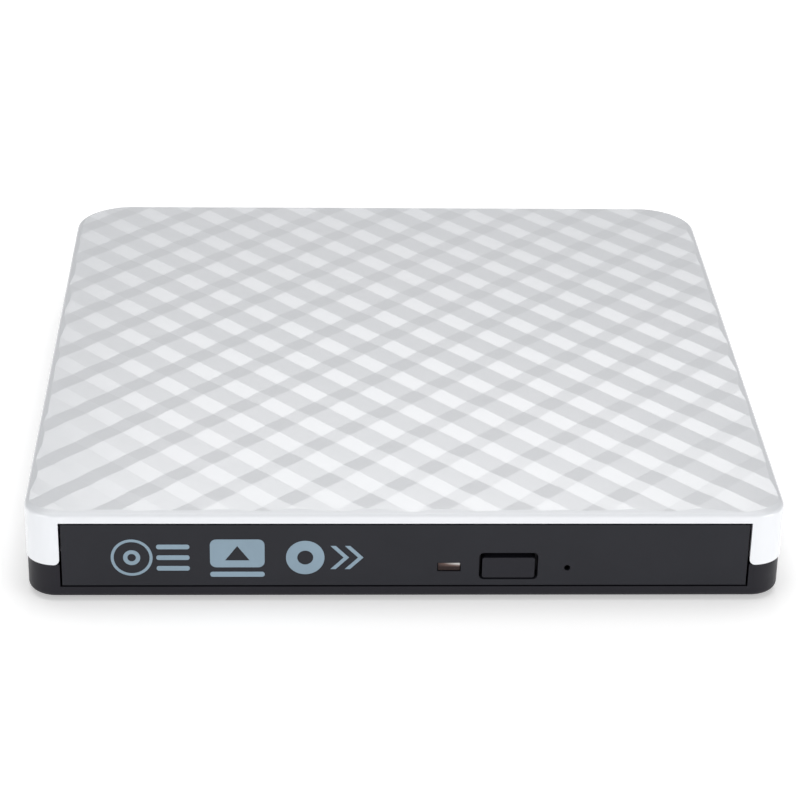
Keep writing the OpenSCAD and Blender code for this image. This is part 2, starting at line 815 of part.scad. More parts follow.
module objective_lens() {
    color("#8fa6d8") intersection() {
        on_sled(7.2) translate([lens_r, 0, 0]) cylinder(r = 2.26, h = 1.9);
        on_sled(4.5) translate([lens_r, 0, 0]) sphere(r = 4);
    }
}

module lead_screw() {
    length = 50;
    turns = 15;
    color("silver") on_sled(screw_h) translate([6.4, screw_v, 0]) rotate([0, 90, 0]) {
        rotate_extrude() polygon(concat([[0, 0], [1.05, 0]],
            [for (i = [0:turns - 1], k = [0:3])
                [k == 1 || k == 2 ? 1.5 : 1.05, 2 + (i + [0, 0.3, 0.55, 0.85][k]) * screw_pitch]],
            [[1.05, length], [0, length]]));
        translate([0, 0, -1.8]) cylinder(r = 0.7, h = length + 3.2);
    }
}

module latch_lever() {
    x = latch_pivot[0];
    y = latch_pivot[1];
    color("#e8e6df") difference() {
        union() {
            translate([x, y, drive_z + 4.4]) cylinder(r = 2.2, h = 0.9);
            box([x - 1, y - 11, drive_z + 4.4], [x + 1, y, drive_z + 5.2]);
            box([x - 3, y - 11, drive_z + 4.4], [x + 1, y - 9.2, drive_z + 5.2]);
            box([x - 3, y - 10.9, drive_z + 2.2], [x + 1, y - 9.4, drive_z + 4.5]);
            box([x - 20.6, y - 1, drive_z + 4.4], [x, y + 1, drive_z + 5.2]);
            box([x - 20.6, y - 1, drive_z + 2.9], [x - 18.4, y + 0.2, drive_z + 4.5]);
        }
        translate([x, y, drive_z]) cylinder(r = 0.92, h = 9);
    }
}

module plunger() {
    color("silver") translate([42, -48.6, drive_z + 4.8]) rotate([-90, 0, 0]) {
        cylinder(r = 1, h = 11);
        cylinder(r = 1.6, h = 0.5);
    }
}

module ejector_rod() {
    color("#e8e6df") translate([ejector_x, 33.6, drive_z + 4]) rotate([-90, 0, 0]) {
        cylinder(r = 1, h = 20.6);
        cylinder(r = 1.6, h = 0.8);
        translate([0, 0, 15.6]) cylinder(r = 1.6, h = 0.8);
    }
}

// tension spring that draws the rod's rear collar towards the guide's front ear
module ejector_spring() {
    turns = 6;
    steps = 10;
    sides = 6;
    coil_r = 1.45;
    wire_r = 0.2;
    length = 11.2;
    rings = turns * steps;
    points = [for (i = [0:rings], k = [0:sides - 1])
        let (a = 360 * i / steps, r = coil_r + wire_r * cos(360 * k / sides))
            [r * cos(a), r * sin(a), length * i / rings + wire_r * sin(360 * k / sides)]];
    walls = [for (i = [0:rings - 1], k = [0:sides - 1], half = [0, 1])
        let (n = (k + 1) % sides, low = i * sides, high = low + sides)
            half == 0 ? [low + k, low + n, high + n] : [low + k, high + n, high + k]];
    ends = [[for (k = [sides - 1:-1:0]) k], [for (k = [0:sides - 1]) rings * sides + k]];
    color("#9a9da1") translate([ejector_x, 37.5, drive_z + 4]) rotate([-90, 0, 0])
        polyhedron(points, concat(walls, ends));
}

top_cover();
bottom_case();
rubber_feet();
case_screws();
bridge_board();
bridge_chips();
usb_socket();
usb_tongue();
sata_receptacle();
sata_plug();
drive_base();
drive_lid();
lid_screws();
channel_left();
channel_right();
main_board();
main_board_chips();
ffc_connector();
ffc_lower();
striker_pin();
ejector_guide();
rail_left();
rail_right();
ffc_bend();
tray_frame();
bezel();
light_pipe();
status_led();
deck_plate();
mechanism_cover();
cover_screws();
traverse_frame();
traverse_dampers();
guide_rods();
motor_base();
motor_coils();
stepper_motor();
tray_board();
eject_switch();
solenoid();
ffc_upper();
ffc_lead();
latch_pivot_pin();
eject_button();
rotor();
turntable();
hub_claws();
turntable_pad();
pickup_body();
actuator_yoke();
laser_unit();
lens_holder();
objective_lens();
lead_screw();
latch_lever();
plunger();
ejector_rod();
ejector_spring();
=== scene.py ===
"""Looks of a slim external optical drive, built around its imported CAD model."""
import json
import math

import bmesh
import bpy
from mathutils import Matrix, Vector

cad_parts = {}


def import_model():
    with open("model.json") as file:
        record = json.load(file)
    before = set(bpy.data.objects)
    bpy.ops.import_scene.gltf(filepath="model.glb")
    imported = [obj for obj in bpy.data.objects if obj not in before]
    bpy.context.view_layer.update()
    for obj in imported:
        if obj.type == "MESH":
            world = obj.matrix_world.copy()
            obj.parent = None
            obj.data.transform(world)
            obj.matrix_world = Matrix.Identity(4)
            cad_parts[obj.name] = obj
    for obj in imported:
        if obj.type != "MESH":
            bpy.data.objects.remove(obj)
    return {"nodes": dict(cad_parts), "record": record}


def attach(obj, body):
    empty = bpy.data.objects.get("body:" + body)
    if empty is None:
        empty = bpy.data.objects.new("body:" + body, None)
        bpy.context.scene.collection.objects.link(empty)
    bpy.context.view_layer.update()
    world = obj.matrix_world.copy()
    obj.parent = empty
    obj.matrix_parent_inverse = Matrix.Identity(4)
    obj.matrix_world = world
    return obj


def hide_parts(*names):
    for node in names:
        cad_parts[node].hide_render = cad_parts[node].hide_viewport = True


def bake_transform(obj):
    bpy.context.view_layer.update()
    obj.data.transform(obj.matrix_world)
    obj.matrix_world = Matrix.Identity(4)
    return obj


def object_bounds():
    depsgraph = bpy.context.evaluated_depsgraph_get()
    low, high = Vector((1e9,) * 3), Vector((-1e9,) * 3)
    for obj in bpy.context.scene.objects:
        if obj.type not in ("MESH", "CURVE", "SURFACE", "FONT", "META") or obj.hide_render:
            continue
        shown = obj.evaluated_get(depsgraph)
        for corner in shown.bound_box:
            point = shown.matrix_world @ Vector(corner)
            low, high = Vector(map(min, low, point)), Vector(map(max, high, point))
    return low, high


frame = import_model()
bpy.context.view_layer.update()
cad_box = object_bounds()
nodes = frame["nodes"]
node_body = {node: body for body, names in frame["record"]["behaviour"]["bodies"].items() for node in names}
node_slot = {row["node"]: row["material_slot"] for row in frame["record"]["subparts"]}

MM = 0.001
FRONT, BACK = cad_box[0].y / MM, cad_box[1].y / MM
HALF_W = cad_box[1].x / MM
TOP_Z = cad_box[1].z / MM

# casing, in millimetres, as in the CAD
FOOT_H = 0.8
REAR_R, FRONT_R = 12.2, 5.8
WALL = 1.8
SPLIT_Z = 7.9
CEILING_Z = TOP_Z - 1.7
FLOOR_Z = FOOT_H + 1.7
NOTCH_W, NOTCH_TOP, NOTCH_INNER_R = 129.6, 16.8, 1.1
USB_X, USB_W = -38.0, 7.7
USB_Z0, USB_Z1 = 5.8, 10.3
POST_X, POST_Y, POST_R = 66.6, 58.0, 2.45
POST_BORE_R, POST_BORE_TOP = 1.0, 9.5

# drive, in millimetres
DRIVE_Z = 3.5
SPINDLE_Y = -8.0
SLED_ANGLE = math.radians(225)
BEZEL_FRONT = FRONT + 0.25
LIGHT_X, LIGHT_Z = 8.1, DRIVE_Z + 3.8
CABLE_X, CABLE_W, CABLE_T = 31.5, 12.0, 0.2
CABLE_BEND_Y, CABLE_END_Y, CABLE_START_Y = -16.0, 49.0, 19.6
CABLE_LOW, CABLE_HIGH = DRIVE_Z + 0.65, DRIVE_Z + 7.2
DECK_PLATE_X, DECK_PLATE_Z = 24.25, 8.1
COIL_FRONT, COIL_BACK = -45.01, -33.99

# ribs under the cover, which end just above the drive, in millimetres
RIB_AT, RIB_T, RIB_LOW = (-36, 0, 36), 1.2, DRIVE_Z + 12.8
RIB_FRONT, RIB_BACK = -60, 50

# edges that turn more than this are sharp, in degrees
SHARP = 32.0


# ---------- materials ----------

class Shader:
    """Node tree of one material, with a principled shader at its end."""

    def __init__(self, name, **constants):
        self.material = bpy.data.materials.new(name)
        self.material.use_nodes = True
        self.tree = self.material.node_tree
        self.bsdf = self.tree.nodes["Principled BSDF"]
        for socket, value in constants.items():
            self.bsdf.inputs[socket.replace("_", " ")].default_value = value
        self.place = self.add("ShaderNodeTexCoord").outputs["Object"]

    def add(self, kind, **values):
        """New node with those attributes or input values."""
        node = self.tree.nodes.new(kind)
        for key, value in values.items():
            if hasattr(node, key):
                setattr(node, key, value)
            else:
                node.inputs[key.replace("_", " ")].default_value = value
        return node

    def link(self, source, target):
        self.tree.links.new(source, target)

    def noise(self, size_mm, detail=2.0, stretch=(1, 1, 1)):
        """Noise with features of about that size, stretched along the axes."""
        mapping = self.add("ShaderNodeMapping")
        mapping.inputs["Scale"].default_value = [1 / (size_mm * MM * s) for s in stretch]
        self.link(self.place, mapping.inputs["Vector"])
        texture = self.add("ShaderNodeTexNoise", Scale=1.0, Detail=detail)
        self.link(mapping.outputs["Vector"], texture.inputs["Vector"])
        return texture.outputs["Fac"]

    def tint(self, factor, low, high, start=0.3, end=0.7):
        """Base colour between two colours, by factor."""
        ramp = self.add("ShaderNodeValToRGB")
        ramp.color_ramp.elements[0].position = start
        ramp.color_ramp.elements[1].position = end
        ramp.color_ramp.elements[0].color = (*low, 1)
        ramp.color_ramp.elements[1].color = (*high, 1)
        self.link(factor, ramp.inputs["Fac"])
        self.link(ramp.outputs["Color"], self.bsdf.inputs["Base Color"])
        return ramp

    def gloss(self, factor, low, high):
        """Roughness between low and high, by factor."""
        spread = self.add("ShaderNodeMapRange")
        spread.inputs["To Min"].default_value = low
        spread.inputs["To Max"].default_value = high
        self.link(factor, spread.inputs["Value"])
        self.link(spread.outputs["Result"], self.bsdf.inputs["Roughness"])

    def span(self, source, low_mm, high_mm):
        """0 to 1 as a coordinate goes from low to high."""
        part = self.add("ShaderNodeMapRange")
        part.inputs["From Min"].default_value = low_mm * MM
        part.inputs["From Max"].default_value = high_mm * MM
        self.link(source, part.inputs["Value"])
        return part.outputs["Result"]

    def bump(self, factor, depth_mm):
        """Surface bumps of that depth, by factor."""
        bump = self.add("ShaderNodeBump", Strength=1.0)
        bump.inputs["Distance"].default_value = depth_mm * MM
        self.link(factor, bump.inputs["Height"])
        self.link(bump.outputs["Normal"], self.bsdf.inputs["Normal"])


def shade(color, factor):
    """Colour made lighter or darker by a factor."""
    return tuple(min(1.0, c * factor) for c in color)


def plastic(name, color, roughness, grain_mm=0.25, grain_depth=0.004, spread=0.05, **constants):
    """Moulded plastic: slight mottling, fine surface grain, and roughness that varies a little."""
    s = Shader(name, **constants)
    s.tint(s.noise(9.0, 3.0), shade(color, 1 - spread), shade(color, 1 + spread))
    s.gloss(s.noise(4.0, 4.0), roughness * 0.9, roughness * 1.1)
    s.bump(s.noise(grain_mm, 2.0), grain_depth)
    return s.material


def metal(name, color, roughness, stretch=(1, 1, 1), grain_mm=0.12, depth=0.0015, spread=0.06):
    """Metal with fine brush marks along its longest stretch."""
    s = Shader(name, Metallic=1.0)
    s.tint(s.noise(grain_mm, 3.0, stretch), shade(color, 1 - spread), shade(color, 1 + spread))
    s.gloss(s.noise(3.0, 4.0), roughness * 0.8, roughness * 1.25)
    s.bump(s.noise(grain_mm, 2.0, stretch), depth)
    return s.material


def cover_white():
    """White plastic under a clear coat, almost without texture."""
    s = Shader("cover_white", Specular_IOR_Level=0.5, Coat_Weight=1.0, Coat_Roughness=0.22, Coat_IOR=1.6)
    s.tint(s.noise(30.0, 2.0), (0.775, 0.795, 0.825), (0.795, 0.81, 0.84))
    s.gloss(s.noise(5.0, 3.0), 0.36, 0.42)
    s.bump(s.noise(1.6, 2.0), 0.0006)
    return s.material


def circuit_board():
    """Green solder mask with copper traces just under it."""
    s = Shader("circuit_board")
    brick = s.add("ShaderNodeTexBrick", offset=0.5, squash=0.6, squash_frequency=3)
    brick.inputs["Scale"].default_value = 1 / (9 * MM)
    brick.inputs["Mortar Size"].default_value = 0.012
    brick.inputs["Brick Width"].default_value = 0.9
    brick.inputs["Row Height"].default_value = 0.07
    brick.inputs["Color1"].default_value = (0.012, 0.075, 0.035, 1)
    brick.inputs["Color2"].default_value = (0.014, 0.095, 0.045, 1)
    brick.inputs["Mortar"].default_value = (0.022, 0.13, 0.06, 1)
    s.link(s.place, brick.inputs["Vector"])
    s.link(brick.outputs["Color"], s.bsdf.inputs["Base Color"])
    s.gloss(s.noise(2.0, 3.0), 0.25, 0.4)
    s.bump(brick.outputs["Fac"], 0.01)
    return s.material


def flat_cable():
    """Cream film with the conductors showing as stripes along its length."""
    s = Shader("flat_cable")
    wave = s.add("ShaderNodeTexWave", wave_type="BANDS", bands_direction="X", Distortion=0.0)
    wave.inputs["Scale"].default_value = 1 / (3.18 * MM)
    s.link(s.place, wave.inputs["Vector"])
    s.tint(wave.outputs["Fac"], (0.62, 0.55, 0.40), (0.78, 0.74, 0.62), 0.2, 0.5)
    s.gloss(s.noise(3.0), 0.3, 0.42)
    s.bump(wave.outputs["Fac"], 0.02)
    return s.material


def light_pipe():
    """Smoky clear plastic, dark brown, with a painted highlight that lightens it towards its upper edge and
    its right.
    """
    s = Shader("light_pipe", Specular_IOR_Level=0.2)
    split = s.add("ShaderNodeSeparateXYZ")
    s.link(s.place, split.inputs["Vector"])
    # painted highlight: the colour ramps from dark brown to pale grey towards the pipe's upper edge and its
    # right-hand end
    painted_highlight_mask = s.add("ShaderNodeMath", operation="MULTIPLY")
    s.link(s.span(split.outputs["Z"], LIGHT_Z - 0.05, LIGHT_Z + 0.7), painted_highlight_mask.inputs[0])
    s.link(s.span(split.outputs["X"], LIGHT_X - 2.6, LIGHT_X + 1.8), painted_highlight_mask.inputs[1])
    ramp = s.tint(painted_highlight_mask.outputs[0], (0.022, 0.012, 0.011), (0.62, 0.60, 0.58), 0.0, 0.9)
    middle = ramp.color_ramp.elements.new(0.35)
    middle.color = (0.13, 0.085, 0.075, 1)
    s.gloss(s.noise(1.5), 0.18, 0.3)
    s.bump(s.noise(0.6), 0.01)
    return s.material


def lens_glass():
    """Clear glass with the blue and violet tint of its coating."""
    s = Shader("lens_glass", IOR=1.6, Transmission_Weight=0.7, Coat_Weight=1.0, Coat_Roughness=0.03)
    s.tint(s.noise(3.0), (0.16, 0.22, 0.55), (0.35, 0.3, 0.65))
    s.gloss(s.noise(2.0), 0.02, 0.06)
    return s.material


def make_materials():
    """All materials, by the name of their slot; "print" is for the pictograms only."""
    black, charcoal, cap = (0.012, 0.0115, 0.016), (0.016, 0.0165, 0.0215), (0.013, 0.013, 0.018)
    return {
        "cover_white": cover_white(),
        "case_black": plastic("case_black", black, 0.42, 0.3, 0.003, Specular_IOR_Level=0.2),
        "bezel_black": plastic("bezel_black", charcoal, 0.5, 0.16, 0.012, Specular_IOR_Level=0.22),
        "button_black": plastic("button_black", cap, 0.38, 0.2, 0.004, Specular_IOR_Level=0.22),
        "tray_black": plastic("tray_black", (0.030, 0.030, 0.033), 0.5, 0.2, 0.010),
        "black_component": plastic("black_component", (0.022, 0.022, 0.024), 0.45, 0.15, 0.004),
        "pale_plastic": plastic("pale_plastic", (0.72, 0.69, 0.61), 0.4, 0.3, 0.003),
        "rubber": plastic("rubber", (0.05, 0.05, 0.052), 0.75, 0.2, 0.02, 0.12),
        "led": plastic("led", (0.80, 0.79, 0.70), 0.2, 0.5, 0.002, Transmission_Weight=0.3),
        "print": plastic("print", (0.215, 0.30, 0.37), 0.45, 0.2, 0.002),
        "circuit_board": circuit_board(),
        "flat_cable": flat_cable(),
        "light_pipe": light_pipe(),
        "lens_glass": lens_glass(),
        "steel": metal("steel", (0.66, 0.67, 0.69), 0.25, (1, 12, 1)),
        "sheet_metal": metal("sheet_metal", (0.50, 0.51, 0.525), 0.42, (1, 20, 1)),
        "dark_metal": plastic("dark_metal", (0.028, 0.028, 0.031), 0.4, 0.3, 0.006, Metallic=0.3),
        "copper": metal("copper", (0.72, 0.33, 0.13), 0.35, (1, 1, 6), 0.15, 0.02, 0.2),
        "cast_alloy": metal("cast_alloy", (0.47, 0.49, 0.52), 0.45, (1, 1, 1), 0.35, 0.02),
        "gold_metal": metal("gold_metal", (0.80, 0.60, 0.28), 0.3, (1, 1, 1), 0.4, 0.006),
    }


materials = make_materials()


# ---------- mesh helpers, in millimetres ----------

def mesh_object(name, bm):
    """Object from a mesh in millimetres; place() or stretch() scales it to metres later."""
    mesh = bpy.data.meshes.new(name)
    bmesh.ops.recalc_face_normals(bm, faces=bm.faces)
    bm.to_mesh(mesh)
    bm.free()
    obj = bpy.data.objects.new(name, mesh)
    bpy.context.scene.collection.objects.link(obj)
    return obj


def apply_modifiers(obj):
    """Turns the modifiers of an object into mesh."""
    shown = obj.evaluated_get(bpy.context.evaluated_depsgraph_get())
    obj.data = bpy.data.meshes.new_from_object(shown)
    obj.modifiers.clear()


def combine(target, tool, operation):
    """Applies a boolean with tool to target and removes tool."""
    step = target.modifiers.new("combine", "BOOLEAN")
    step.object = tool
    step.operation = operation
    step.solver = "EXACT"
    apply_modifiers(target)
    bpy.data.objects.remove(tool)


def add_box(bm, low, high):
    """Closed box between two corners."""
    made = bmesh.ops.create_cube(bm, size=1.0)
    size, middle = Vector(high) - Vector(low), (Vector(high) + Vector(low)) / 2
    bmesh.ops.scale(bm, vec=size, verts=made["verts"])
    bmesh.ops.translate(bm, vec=middle, verts=made["verts"])


def add_prism(bm, points, low, high, axis="z"):
    """Closed prism over plan points between two heights, or over front-view points between two depths."""
    turn = (lambda a, b, c: (a, b, c)) if axis == "z" else (lambda a, b, c: (a, c, b))
    rings = [[bm.verts.new(turn(x, y, level)) for x, y in points] for level in (low, high)]
    bm.faces.new(rings[0])
    bm.faces.new(rings[1])
    for i in range(len(points)):
        j = (i + 1) % len(points)
        bm.faces.new((rings[0][i], rings[0][j], rings[1][j], rings[1][i]))


def circle(x, y, r, steps=32):
    """Points of a circle, all the way round."""
    return [(x + r * math.cos(2 * math.pi * k / steps), y + r * math.sin(2 * math.pi * k / steps))
            for k in range(steps)]


def add_rings(bm, rings):
    """Closed solid through rings of equally many points, from the lowest to the highest."""
    loops = [[bm.verts.new(p) for p in ring] for ring in rings]
    bm.faces.new(loops[0])
    bm.faces.new(loops[-1])
    for low, high in zip(loops, loops[1:]):
        for i in range(len(low)):
            j = (i + 1) % len(low)
            bm.faces.new((low[i], low[j], high[j], high[i]))


def solid(name, add, *shape, **options):
    """Object of one closed shape, made by one of the add_ functions."""
    bm = bmesh.new()
    add(bm, *shape, **options)
    return mesh_object(name, bm)


def corner_arcs(corners, steps):
    """Points along a quarter turn at each corner, given by its middle, radius and first angle."""
    points = []
    for x, y, r, start in corners:
        for k in range(steps + 1):
            a = math.radians(start + 90 * k / steps)
            points.append((x + r * math.cos(a), y + r * math.sin(a)))
    return points


def outline(inset):
    """Plan outline of the casing, stepped in by inset, as points all the way round."""
    w, rf, rr = HALF_W - inset, FRONT_R - inset, REAR_R - inset
    corners = [(w - rf, FRONT + inset + rf, rf, -90), (w - rr, BACK - inset - rr, rr, 0),
               (-(w - rr), BACK - inset - rr, rr, 90), (-(w - rf), FRONT + inset + rf, rf, 180)]
    return corner_arcs(corners, 20)


def ring_at(inset, z):
    """The casing's outline at one height."""
    return [(x, y, z) for x, y in outline(inset)]


def smooth_by_angle(mesh, degrees=SHARP):
    """Smooth faces, with the edges that turn more than that kept sharp."""
    bm = bmesh.new()
    bm.from_mesh(mesh)
    for face in bm.faces:
        face.smooth = True
    for edge in bm.edges:
        edge.smooth = edge.calc_face_angle(math.pi) < math.radians(degrees)
    bm.to_mesh(mesh)
    bm.free()


def weigh_normals(obj):
    """Bakes normals that follow the larger faces, so that flat regions stay flat beside rounded edges."""
    step = obj.modifiers.new("normals", "WEIGHTED_NORMAL")
    step.mode = "FACE_AREA"
    step.weight = 100
    step.keep_sharp = True
    apply_modifiers(obj)


def soften(obj, width, segments=2):
    """Rounds every sharp edge, and applies it to the mesh."""
    if width:
        step = obj.modifiers.new("soften", "BEVEL")
        step.width = width
        step.segments = segments
        step.limit_method = "ANGLE"
        step.angle_limit = math.radians(SHARP)
        step.use_clamp_overlap = True
        step.miter_outer = "MITER_ARC"
        apply_modifiers(obj)
    smooth_by_angle(obj.data)
    weigh_normals(obj)


def to_metres(obj, material):
    """Scales a mesh made in millimetres, and gives it its material."""
    obj.data.transform(Matrix.Scale(MM, 4))
    obj.data.materials.clear()
    obj.data.materials.append(material)


def place(obj, slot, body, *stands_for, material=None):
    """Finishes a mesh made in millimetres and puts it on its body, in place of those nodes."""
    to_metres(obj, material or materials[slot])
    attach(obj, body)
    if stands_for:
        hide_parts(*stands_for)
    return obj


def cad_copy(node):
    """Mesh of a CAD node as one joined skin, in millimetres, with flat regions as single faces."""
    bm = bmesh.new()
    bm.from_mesh(nodes[node].data)
    for layer in list(bm.loops.layers.float_vector):
        bm.loops.layers.float_vector.remove(layer)
    bmesh.ops.scale(bm, vec=(1 / MM,) * 3, verts=bm.verts)
    bmesh.ops.remove_doubles(bm, verts=bm.verts, dist=0.002)
    bmesh.ops.dissolve_limit(bm, angle_limit=math.radians(0.5), verts=bm.verts, edges=bm.edges)
    return mesh_object(node + "_finished", bm)


def finish_node(node, width, segments=2):
    """Replaces a CAD node with its own shape, its edges rounded and its normals made anew."""
    obj = cad_copy(node)
    custom = obj.data.attributes.get("custom_normal")
    if custom:
        obj.data.attributes.remove(custom)
    soften(obj, width, segments)
    return place(obj, node_slot[node], node_body[node], node)


# ---------- white cover with its relief ----------

# two families of ridges: direction across them, spacing, and the places of the ridge and the valley
# as shares of one spacing; lengths are in millimetres
RELIEF = [
    {"across": (-0.7277, 0.6772), "pitch": 11.098, "ridge": 0.035, "valley": 0.40},
    {"across": (0.7252, 0.6796), "pitch": 9.145, "ridge": 0.99, "valley": 0.56},
]
RELIEF_DEPTH = 0.17
RELIEF_TOP = 0.06
RELIEF_LOW = TOP_Z - RELIEF_TOP - 2 * RELIEF_DEPTH
FACET_UPRIGHT = 0.997

# the cover's edge turns from upright to a slope, which rises to the top
EDGE_R, EDGE_SLOPE, EDGE_RISE = 0.85, math.radians(18), 0.45


def ridge_height(family, x, y):
    """Depth of one family below its ridges, from 0 on a ridge to RELIEF_DEPTH in a valley."""
    u = (family["across"][0] * x + family["across"][1] * y) / family["pitch"]
    after = (u - family["ridge"]) % 1.0
    span = (family["valley"] - family["ridge"]) % 1.0
    share = after / span if after < span else (1 - after) / (1 - span)
    return RELIEF_DEPTH * share


def relief_slab():
    """Solid whose upper side is the relief, and which reaches past the casing all round."""
    reach = HALF_W + 12
    bm = bmesh.new()
    corners = [(-reach, -reach), (reach, -reach), (reach, reach), (-reach, reach)]
    bm.faces.new([bm.verts.new((x, y, 0)) for x, y in corners])
    for family in RELIEF:
        across = Vector((*family["across"], 0)).normalized()
        size = Vector(family["across"]).length
        count = int(reach * 1.5 / family["pitch"]) + 1
        for k in range(-count, count + 1):
            for share in (family["ridge"], family["valley"]):
                point = across * ((k + share) * family["pitch"] / size)
                bmesh.ops.bisect_plane(bm, geom=bm.verts[:] + bm.edges[:] + bm.faces[:], dist=1e-5,
                                       plane_co=point, plane_no=across)
    for vert in bm.verts:
        drop = sum(ridge_height(family, vert.co.x, vert.co.y) for family in RELIEF)
        vert.co.z = TOP_Z - RELIEF_TOP - drop
    rim = [e for e in bm.edges if e.is_boundary]
    made = bmesh.ops.extrude_edge_only(bm, edges=rim)
    for vert in (g for g in made["geom"] if isinstance(g, bmesh.types.BMVert)):
        vert.co.z = 0
    bmesh.ops.holes_fill(bm, edges=[e for e in bm.edges if e.is_boundary])
    return mesh_object("relief_slab", bm)


def notch_tool():
    """Opening for the tray front, with round lower inner corners on the cover's two legs."""
    r, half = NOTCH_INNER_R, NOTCH_W / 2
    arc = [(half + r * (1 - math.cos(a)), SPLIT_Z + r * (1 - math.sin(a)))
           for a in [math.radians(90 * k / 8) for k in range(9)]]
    right = [(half + r, SPLIT_Z - 1)] + arc[::-1] + [(half, NOTCH_TOP)]
    points = right + [(-x, z) for x, z in reversed(right)]
    return solid("notch", add_prism, points, FRONT - 1, FRONT + WALL + 2, axis="y")


def cover_blank():
    """Block with the cover's outline and edge profile, its top cut to the relief."""
    steps = 8
    rings = [ring_at(0, SPLIT_Z)]
    for k in range(steps + 1):
        tilt = math.radians(90) + (EDGE_SLOPE - math.radians(90)) * k / steps
        inset = EDGE_R * (1 - math.sin(tilt))
        rise = EDGE_R * (math.cos(tilt) - math.cos(EDGE_SLOPE))
        rings.append(ring_at(inset, TOP_Z - EDGE_RISE + rise))
    rings.append(ring_at(inset + EDGE_RISE / math.tan(EDGE_SLOPE), TOP_Z))
    cover = solid("top_shell", add_rings, rings)
    combine(cover, relief_slab(), "INTERSECT")
    return cover


def sharpen_facets(mesh):
    """Makes the relief's facets flat, with crisp edges between them."""
    bm = bmesh.new()
    bm.from_mesh(mesh)
    for face in bm.faces:
        if face.normal.z > FACET_UPRIGHT and min(v.co.z for v in face.verts) > RELIEF_LOW - 0.02:
            face.smooth = False
            for edge in face.edges:
                edge.smooth = False
    bm.to_mesh(mesh)
    bm.free()


def top_cover():
    """Hollow cover with its screw posts, its ribs, and openings for the tray front and the socket."""
    cover = cover_blank()
    combine(cover, solid("cavity", add_prism, outline(WALL), SPLIT_Z - 1, CEILING_Z), "DIFFERENCE")
    for x in (-POST_X, POST_X):
        for y in (-POST_Y, POST_Y):
            post = solid("post", add_prism, circle(x, y, POST_R), FLOOR_Z + 0.4, CEILING_Z + 0.3)
            combine(cover, post, "UNION")
            bore = solid("bore", add_prism, circle(x, y, POST_BORE_R), 0, POST_BORE_TOP)
            combine(cover, bore, "DIFFERENCE")
    for x in RIB_AT:
        low = (x - RIB_T / 2, RIB_FRONT, RIB_LOW)
        high = (x + RIB_T / 2, RIB_BACK, CEILING_Z + 0.2)
        combine(cover, solid("rib", add_box, low, high), "UNION")
    combine(cover, notch_tool(), "DIFFERENCE")
    low = (USB_X - USB_W / 2 - 0.3, BACK - WALL - 1, USB_Z0)
    high = (USB_X + USB_W / 2 + 0.3, BACK + 1, USB_Z1)
    combine(cover, solid("usb_hole", add_box, low, high), "DIFFERENCE")
    smooth_by_angle(cover.data)
    sharpen_facets(cover.data)
    weigh_normals(cover)
    place(cover, "cover_white", "enclosure", "top_cover")


top_cover()


# ---------- outer pieces ----------

finish_node("bottom_case", 0.15)
finish_node("bezel", 0.14)
finish_node("eject_button", 0.25, 3)
finish_node("light_pipe", 0.22, 3)
finish_node("rubber_feet", 0.3, 3)
finish_node("usb_socket", 0.12)
finish_node("usb_tongue", 0.1)
finish_node("case_screws", 0.08)


# ---------- three plain pictograms on the tray front, in place of printed marks ----------

PRINT_Z, PRINT_FILES_X, PRINT_EJECT_X, PRINT_READ_X = 9.4, -51.3, -31.6, -18.9


def prisms(name, outlines, low, high):
    """Object of closed prisms over front-view outlines, between two depths."""
    bm = bmesh.new()
    for points in outlines:
        add_prism(bm, points, low, high, axis="y")
    return mesh_object(name, bm)


def pictogram(name, solids, holes):
    """Thin print on the bezel, from closed outlines in the front view."""
    obj = prisms(name, solids, BEZEL_FRONT - 0.03, BEZEL_FRONT + 0.02)
    for hole in holes:
        combine(obj, prisms("hole", [hole], BEZEL_FRONT - 1, BEZEL_FRONT + 1), "DIFFERENCE")
    smooth_by_angle(obj.data)
    place(obj, "pale_plastic", "tray", material=materials["print"])


def rounded(x, z, w, h, r):
    """Rectangle with round corners, by its middle."""
    right, left = x + w / 2 - r, x - w / 2 + r
    low, high = z - h / 2 + r, z + h / 2 - r
    corners = [(right, low, r, -90), (right, high, r, 0), (left, high, r, 90), (left, low, r, 180)]
    return corner_arcs(corners, 6)


def chevron(x, z, w, h):
    """Bent bar that points to the right."""
    lower = [(x, z - h / 2), (x + w, z - h / 2), (x + w + h / 2, z)]
    return lower + [(x + w, z + h / 2), (x, z + h / 2), (x + h / 2, z)]


def print_files():
    """Disc with three bars beside it."""
    x, z = PRINT_FILES_X, PRINT_Z
    bars = [rounded(x + 7.7, z + k * 2.3, 6.2, 1.0, 0.45) for k in (-1, 0, 1)]
    pictogram("print_files", [circle(x, z, 3.9, 56)] + bars, [circle(x, z, 3.35, 56)])
    pictogram("print_files_hub", [circle(x, z, 1.6, 32)], [circle(x, z, 0.8, 24)])


def print_eject():
    """Block with an eject triangle, over a bar."""
    x, z = PRINT_EJECT_X, PRINT_Z
    triangle = [(x - 2.3, z - 0.6), (x + 2.3, z - 0.6), (x, z + 2.5)]
    blocks = [rounded(x, z + 0.9, 10.2, 6.0, 1.2), rounded(x, z - 3.6, 10.2, 1.1, 0.5)]
    pictogram("print_eject", blocks, [triangle])


def print_read():
    """Disc with two chevrons beside it."""
    x, z = PRINT_READ_X, PRINT_Z
    chevrons = [chevron(x + 4.7, z, 1.0, 5.0), chevron(x + 7.4, z, 1.0, 5.0)]
    pictogram("print_read", [circle(x, z, 3.6, 56)] + chevrons, [circle(x, z, 1.5, 32)])


print_files()
print_eject()
print_read()


# ---------- flat cable, whose loop runs at half the tray's speed ----------

